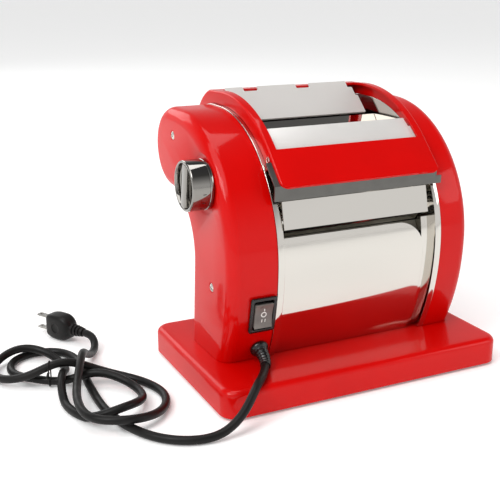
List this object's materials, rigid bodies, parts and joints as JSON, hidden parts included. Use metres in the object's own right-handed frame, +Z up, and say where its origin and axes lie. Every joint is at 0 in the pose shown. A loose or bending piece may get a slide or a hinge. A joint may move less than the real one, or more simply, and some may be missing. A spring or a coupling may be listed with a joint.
{
  "type": "pasta roller machine",
  "caption": "Electric dough-sheeting machine: two geared rollers with an adjustable gap between red end housings on a base, a hopper above, a rocker switch and a mains lead with a plug.",
  "frame": {"origin": "middle of the machine's box without its lead, at the underside of the feet", "axes": "+X to the operator's right along the rollers, +Y from the operator to the back, +Z up"},
  "size_m": [0.4301, 0.285, 0.244],
  "materials": {
    "red_enamel": "gloss enamel",
    "chrome": "mirror",
    "steel": "satin",
    "frosted_plastic": "frosted, slightly translucent",
    "nylon": "natural moulded",
    "bronze": "sintered, oiled",
    "grey_plastic": "moulded",
    "black_plastic": "moulded, semi-gloss",
    "black_rubber": "moulded",
    "black_vinyl": "flexible PVC, satin"
  },
  "bodies": {
    "frame": {"adjusting_scraper": "nylon", "base_bottom_plate": "grey_plastic", "base_shell": "red_enamel", "cable_grip": "black_plastic", "cord": "black_vinyl", "cord_tie": "black_vinyl", "dough_chute": "steel", "drive_bush_left": "bronze", "drive_bush_right": "bronze", "drive_scraper": "nylon", "foot_left_front": "black_rubber", "foot_left_rear": "black_rubber", "foot_right_front": "black_rubber", "foot_right_rear": "black_rubber", "front_apron": "chrome", "front_feed_guide": "frosted_plastic", "front_panel": "chrome", "front_rail": "chrome", "gear_plate": "steel", "hood": "red_enamel", "hood_screw_left": "steel", "hood_screw_right": "steel", "knob_spring": "steel", "left_housing": "red_enamel", "left_housing_screw_lower": "steel", "left_housing_screw_upper": "steel", "left_side_plate": "chrome", "motor_body": "steel", "motor_cap": "black_plastic", "plug_blade_lower": "steel", "plug_blade_upper": "steel", "plug_body": "black_vinyl", "rear_feed_guide": "frosted_plastic", "rear_panel": "steel", "right_housing": "red_enamel", "right_housing_screw_lower": "steel", "right_housing_screw_upper": "steel", "right_side_plate": "chrome", "switch_bezel": "black_plastic", "tie_rod_front": "chrome", "tie_rod_low": "chrome", "tie_rod_rear": "chrome"},
    "drive_roller_body": {"drive_roller": "chrome", "drive_roller_gear": "steel", "drive_wheel": "steel"},
    "reduction_body": {"reduction_wheel": "nylon", "reduction_pinion": "steel", "reduction_shaft": "steel"},
    "motor_rotor": {"motor_shaft": "steel", "motor_pinion": "steel"},
    "roller_carrier": {"roller_block_left": "bronze", "roller_block_right": "bronze"},
    "adjusting_roller_body": {"adjusting_roller": "chrome", "adjusting_roller_gear": "steel"},
    "cam_body": {"regulator_cam": "steel"},
    "knob_body": {"regulator_knob": "chrome", "regulator_shaft": "steel"},
    "rocker_body": {"switch_rocker": "black_plastic"}
  },
  "joints": [
    {"name": "drive_roller_spin", "type": "hinge", "parent": "frame", "child": "drive_roller_body", "pos_m": [0, -0.03374, 0.14262], "axis": [1, 0, 0], "continuous": true},
    {"name": "reduction_spin", "type": "hinge", "parent": "frame", "child": "reduction_body", "pos_m": [-0.095, -0.03525, 0.10515], "axis": [1, 0, 0], "continuous": true},
    {"name": "motor_spin", "type": "hinge", "parent": "frame", "child": "motor_rotor", "pos_m": [-0.09, -0.02575, 0.06373], "axis": [1, 0, 0], "continuous": true},
    {"name": "regulator_turn", "type": "hinge", "parent": "frame", "child": "cam_body", "pos_m": [-0.11, -0.02375, 0.177], "axis": [1, 0, 0], "range_deg": [0, 320]},
    {"name": "roller_lift", "type": "slide", "parent": "frame", "child": "roller_carrier", "axis": [0, 0.2791, 0.9603], "range_m": [0, 0.0022]},
    {"name": "adjusting_roller_spin", "type": "hinge", "parent": "roller_carrier", "child": "adjusting_roller_body", "pos_m": [0, -0.02375, 0.177], "axis": [1, 0, 0], "continuous": true},
    {"name": "knob_pull", "type": "slide", "parent": "cam_body", "child": "knob_body", "axis": [-1, 0, 0], "range_m": [0, 0.004], "stiffness_N_per_m": 900, "springref_m": -0.003, "deforming": ["knob_spring"]},
    {"name": "switch_rock", "type": "hinge", "parent": "frame", "child": "rocker_body", "pos_m": [-0.0874, -0.0691, 0.0724], "axis": [1, 0, 0], "range_deg": [-10, 10]}
  ],
  "couplings": [
    {"joint": "reduction_spin", "follows": "drive_roller_spin", "ratio": -2.5714},
    {"joint": "motor_spin", "follows": "drive_roller_spin", "ratio": 12},
    {"joint": "adjusting_roller_spin", "follows": "drive_roller_spin", "ratio": -1},
    {"joint": "regulator_turn", "follows": "roller_lift", "rad_per_m": 2538.7}
  ]
}
